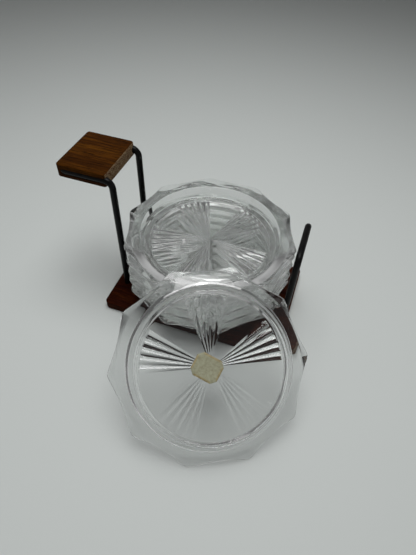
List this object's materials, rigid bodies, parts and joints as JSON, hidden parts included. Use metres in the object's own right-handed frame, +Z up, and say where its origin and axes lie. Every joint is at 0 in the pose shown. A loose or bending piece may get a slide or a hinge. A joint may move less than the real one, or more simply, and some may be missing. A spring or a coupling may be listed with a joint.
{
  "type": "glass coaster set in a wire and teak caddy",
  "caption": "Pressed-glass dishes with scalloped rims and starburst bases, stacked in a teak and black wire caddy with a grip handle; one dish leans on the stack.",
  "frame": {"origin": "centre of the base board's underside, which rests on the table", "axes": "+Z up out of the base board; +X along the board from the grip end to the stop loop; +Y towards the back, away from the leaning dish"},
  "size_m": [0.1613, 0.1719, 0.0934],
  "materials": {
    "teak": "oiled, open grain",
    "black_wire": "satin black",
    "clear_glass": "fire-polished pressed glass",
    "label_paper": "aged matte"
  },
  "bodies": {
    "caddy": {"base_board": "teak", "handle_wire": "black_wire", "handle_grip": "teak", "stop_wire": "black_wire"},
    "dish_1": {"dish_1": "clear_glass"},
    "dish_2": {"dish_2": "clear_glass"},
    "dish_3": {"dish_3": "clear_glass"},
    "dish_4": {"dish_4": "clear_glass"},
    "dish_5": {"dish_5": "clear_glass"},
    "leaning_dish": {"leaning_dish": "clear_glass", "paper_label": "label_paper"}
  },
  "joints": [
    {"name": "dish_1_lift", "type": "slide", "parent": "caddy", "child": "dish_1", "axis": [0, 0, 1], "range_m": [0, 0.093]},
    {"name": "dish_2_lift", "type": "slide", "parent": "dish_1", "child": "dish_2", "axis": [0, 0, 1], "range_m": [0, 0.085]},
    {"name": "dish_3_lift", "type": "slide", "parent": "dish_2", "child": "dish_3", "axis": [0, 0, 1], "range_m": [0, 0.076]},
    {"name": "dish_4_lift", "type": "slide", "parent": "dish_3", "child": "dish_4", "axis": [0, 0, 1], "range_m": [0, 0.068]},
    {"name": "dish_5_lift", "type": "slide", "parent": "dish_4", "child": "dish_5", "axis": [0, 0, 1], "range_m": [0, 0.06]},
    {"name": "leaning_dish_lift", "type": "slide", "parent": "dish_5", "child": "leaning_dish", "axis": [0.2704, -0.5423, 0.7955], "range_m": [0, 0.09]}
  ]
}
